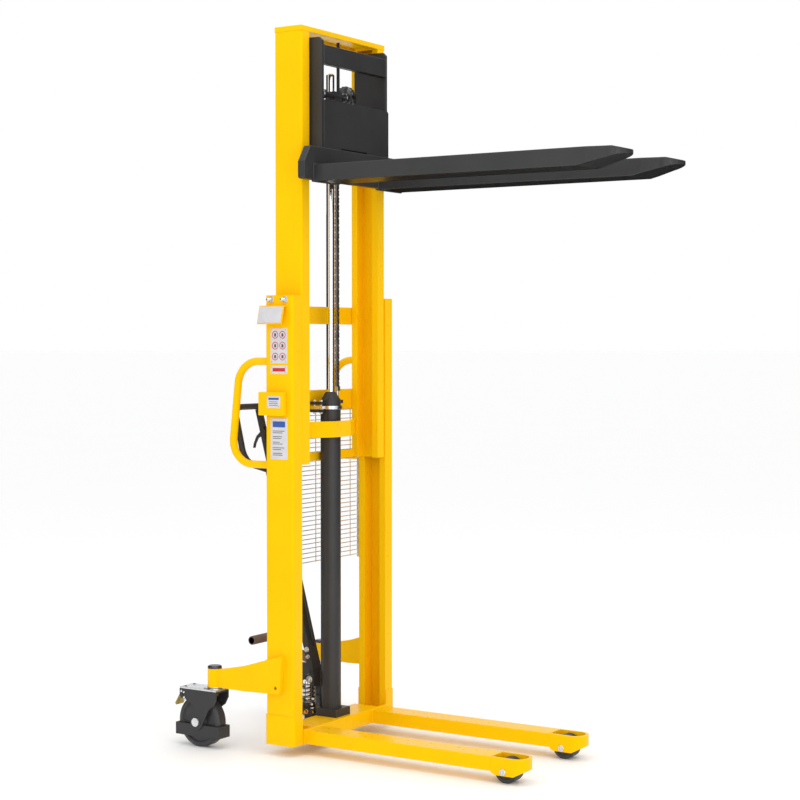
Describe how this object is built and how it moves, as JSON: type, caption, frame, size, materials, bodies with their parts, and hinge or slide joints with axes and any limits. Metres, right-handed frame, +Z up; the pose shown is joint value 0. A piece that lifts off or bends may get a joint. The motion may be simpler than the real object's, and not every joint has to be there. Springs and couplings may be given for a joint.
{
  "type": "walkie stacker",
  "caption": "Manual hydraulic hand stacker with a two-stage mast, raised forks, straddle legs on load rollers, rear swivel casters, pump tiller and foot pedal.",
  "frame": {"origin": "on the floor, under the middle of the whole machine's box", "axes": "+X forward along the forks, +Y to the operator's left, +Z up"},
  "size_m": [1.694, 0.738, 2.499],
  "materials": {
    "yellow_paint": "gloss",
    "black_paint": "satin",
    "zinc_plate": "satin",
    "hard_chrome": "polished",
    "nylon_wheel": "satin",
    "bare_steel": "oiled",
    "brake_brass": "satin",
    "brass_fitting": "satin",
    "white_nylon": "matte",
    "label_sheet": "satin",
    "galvanised_wire": "satin",
    "blued_steel": "satin",
    "pedal_rubber": "matte"
  },
  "bodies": {
    "chassis": {"outer_mast_right": "yellow_paint", "outer_mast_left": "yellow_paint", "mast_cross_members": "yellow_paint", "base_frame": "yellow_paint", "leg_right": "yellow_paint", "leg_left": "yellow_paint", "leg_roller_axles": "zinc_plate", "caster_arms": "yellow_paint", "caster_stems": "blued_steel", "push_handles": "yellow_paint", "mesh_guard": "galvanised_wire", "label_brackets": "yellow_paint", "label_plates": "label_sheet", "guide_pads": "white_nylon", "pad_bolts": "zinc_plate", "lift_cylinder": "black_paint", "cylinder_head": "black_paint", "cylinder_clamp": "zinc_plate", "chain_anchor": "zinc_plate", "pump_body": "black_paint", "tiller_bracket": "black_paint", "valve_fitting": "brass_fitting", "pump_spring": "bare_steel", "chain_rear": "bare_steel"},
    "inner_mast": {"inner_mast_right": "yellow_paint", "inner_mast_left": "yellow_paint", "inner_top_plate": "yellow_paint", "inner_ties": "yellow_paint", "piston_rod": "hard_chrome", "rod_head": "black_paint", "chain_front": "bare_steel"},
    "chain_wheel": {"chain_wheel": "bare_steel"},
    "carriage": {"carriage_side_right": "black_paint", "carriage_side_left": "black_paint", "carriage_top_beam": "black_paint", "carriage_plate": "black_paint", "fork_beam": "black_paint", "fork_right": "black_paint", "fork_left": "black_paint"},
    "tiller": {"tiller_shaft": "black_paint", "tiller_loop": "black_paint", "foot_pedal": "pedal_rubber"},
    "tiller_trigger": {"tiller_trigger": "black_paint"},
    "pump_piston": {"pump_piston": "hard_chrome"},
    "mast_roller_right": {"mast_roller_right": "bare_steel"},
    "carriage_roller_upper_right": {"carriage_roller_upper_right": "bare_steel"},
    "carriage_roller_lower_right": {"carriage_roller_lower_right": "bare_steel"},
    "leg_roller_right": {"leg_roller_right": "nylon_wheel"},
    "caster_right": {"caster_fork_right": "black_paint", "caster_hardware_right": "zinc_plate"},
    "caster_wheel_right": {"caster_wheel_right": "nylon_wheel"},
    "caster_brake_right": {"caster_brake_right": "brake_brass"},
    "mast_roller_left": {"mast_roller_left": "bare_steel"},
    "carriage_roller_upper_left": {"carriage_roller_upper_left": "bare_steel"},
    "carriage_roller_lower_left": {"carriage_roller_lower_left": "bare_steel"},
    "leg_roller_left": {"leg_roller_left": "nylon_wheel"},
    "caster_left": {"caster_fork_left": "black_paint", "caster_hardware_left": "zinc_plate"},
    "caster_wheel_left": {"caster_wheel_left": "nylon_wheel"},
    "caster_brake_left": {"caster_brake_left": "brake_brass"}
  },
  "joints": [
    {"name": "mast_lift", "type": "slide", "parent": "chassis", "child": "inner_mast", "axis": [0, 0, 1], "range_m": [-0.936, 0], "deforming": ["chain_rear"]},
    {"name": "carriage_lift", "type": "slide", "parent": "inner_mast", "child": "carriage", "axis": [0, 0, 1], "range_m": [-0.936, 0], "deforming": ["chain_front"]},
    {"name": "chain_wheel_turn", "type": "hinge", "parent": "inner_mast", "child": "chain_wheel", "pos_m": [-0.389, 0.056, 2.288], "axis": [0, 1, 0], "range_deg": [-1500, 5]},
    {"name": "mast_roller_right_turn", "type": "hinge", "parent": "inner_mast", "child": "mast_roller_right", "pos_m": [-0.411, -0.277, 1.042], "axis": [0, 1, 0], "range_deg": [-1700, 5]},
    {"name": "carriage_roller_upper_right_turn", "type": "hinge", "parent": "carriage", "child": "carriage_roller_upper_right", "pos_m": [-0.411, -0.2315, 2.42], "axis": [0, 1, 0], "range_deg": [-1750, 5]},
    {"name": "carriage_roller_lower_right_turn", "type": "hinge", "parent": "carriage", "child": "carriage_roller_lower_right", "pos_m": [-0.411, -0.2315, 2.14], "axis": [0, 1, 0], "range_deg": [-5, 1750]},
    {"name": "leg_roller_right_turn", "type": "hinge", "parent": "chassis", "child": "leg_roller_right", "pos_m": [0.426, -0.203, 0.04], "axis": [0, 1, 0], "continuous": true},
    {"name": "caster_right_swivel", "type": "hinge", "parent": "chassis", "child": "caster_right", "pos_m": [-0.684, -0.325, 0.2], "axis": [0, 0, 1], "continuous": true},
    {"name": "caster_wheel_right_turn", "type": "hinge", "parent": "caster_right", "child": "caster_wheel_right", "pos_m": [-0.739, -0.325, 0.09], "axis": [0, 1, 0], "continuous": true},
    {"name": "caster_brake_right_press", "type": "hinge", "parent": "caster_right", "child": "caster_brake_right", "pos_m": [-0.801, -0.325, 0.18], "axis": [0, -1, 0], "range_deg": [0, 10]},
    {"name": "mast_roller_left_turn", "type": "hinge", "parent": "inner_mast", "child": "mast_roller_left", "pos_m": [-0.411, 0.277, 1.042], "axis": [0, 1, 0], "range_deg": [-1700, 5]},
    {"name": "carriage_roller_upper_left_turn", "type": "hinge", "parent": "carriage", "child": "carriage_roller_upper_left", "pos_m": [-0.411, 0.2315, 2.42], "axis": [0, 1, 0], "range_deg": [-1750, 5]},
    {"name": "carriage_roller_lower_left_turn", "type": "hinge", "parent": "carriage", "child": "carriage_roller_lower_left", "pos_m": [-0.411, 0.2315, 2.14], "axis": [0, 1, 0], "range_deg": [-5, 1750]},
    {"name": "leg_roller_left_turn", "type": "hinge", "parent": "chassis", "child": "leg_roller_left", "pos_m": [0.426, 0.203, 0.04], "axis": [0, 1, 0], "continuous": true},
    {"name": "caster_left_swivel", "type": "hinge", "parent": "chassis", "child": "caster_left", "pos_m": [-0.684, 0.325, 0.2], "axis": [0, 0, 1], "continuous": true},
    {"name": "caster_wheel_left_turn", "type": "hinge", "parent": "caster_left", "child": "caster_wheel_left", "pos_m": [-0.739, 0.325, 0.09], "axis": [0, 1, 0], "continuous": true},
    {"name": "caster_brake_left_press", "type": "hinge", "parent": "caster_left", "child": "caster_brake_left", "pos_m": [-0.801, 0.325, 0.18], "axis": [0, -1, 0], "range_deg": [0, 10]},
    {"name": "tiller_pump", "type": "hinge", "parent": "chassis", "child": "tiller", "pos_m": [-0.477, 0, 0.217], "axis": [0, -1, 0], "range_deg": [0, 45], "stiffness_Nm_per_rad": 30, "springref_deg": -57.3},
    {"name": "pump_stroke", "type": "slide", "parent": "chassis", "child": "pump_piston", "axis": [0, 0, -1], "range_m": [0, 0.0212], "deforming": ["pump_spring"]},
    {"name": "trigger_pull", "type": "hinge", "parent": "tiller", "child": "tiller_trigger", "pos_m": [-0.71097, 0, 1.0902], "axis": [0, 1, 0], "range_deg": [0, 20], "stiffness_Nm_per_rad": 0.6, "springref_deg": -28.65}
  ],
  "couplings": [
    {"joint": "carriage_lift", "follows": "mast_lift", "ratio": 1},
    {"joint": "chain_wheel_turn", "follows": "mast_lift", "rad_per_m": 27.778},
    {"joint": "mast_roller_right_turn", "follows": "mast_lift", "rad_per_m": 31.056},
    {"joint": "carriage_roller_upper_right_turn", "follows": "mast_lift", "rad_per_m": 32.051},
    {"joint": "carriage_roller_lower_right_turn", "follows": "mast_lift", "rad_per_m": -32.051},
    {"joint": "mast_roller_left_turn", "follows": "mast_lift", "rad_per_m": 31.056},
    {"joint": "carriage_roller_upper_left_turn", "follows": "mast_lift", "rad_per_m": 32.051},
    {"joint": "carriage_roller_lower_left_turn", "follows": "mast_lift", "rad_per_m": -32.051},
    {"joint": "pump_stroke", "follows": "tiller_pump", "m_per_rad": 0.0265}
  ]
}
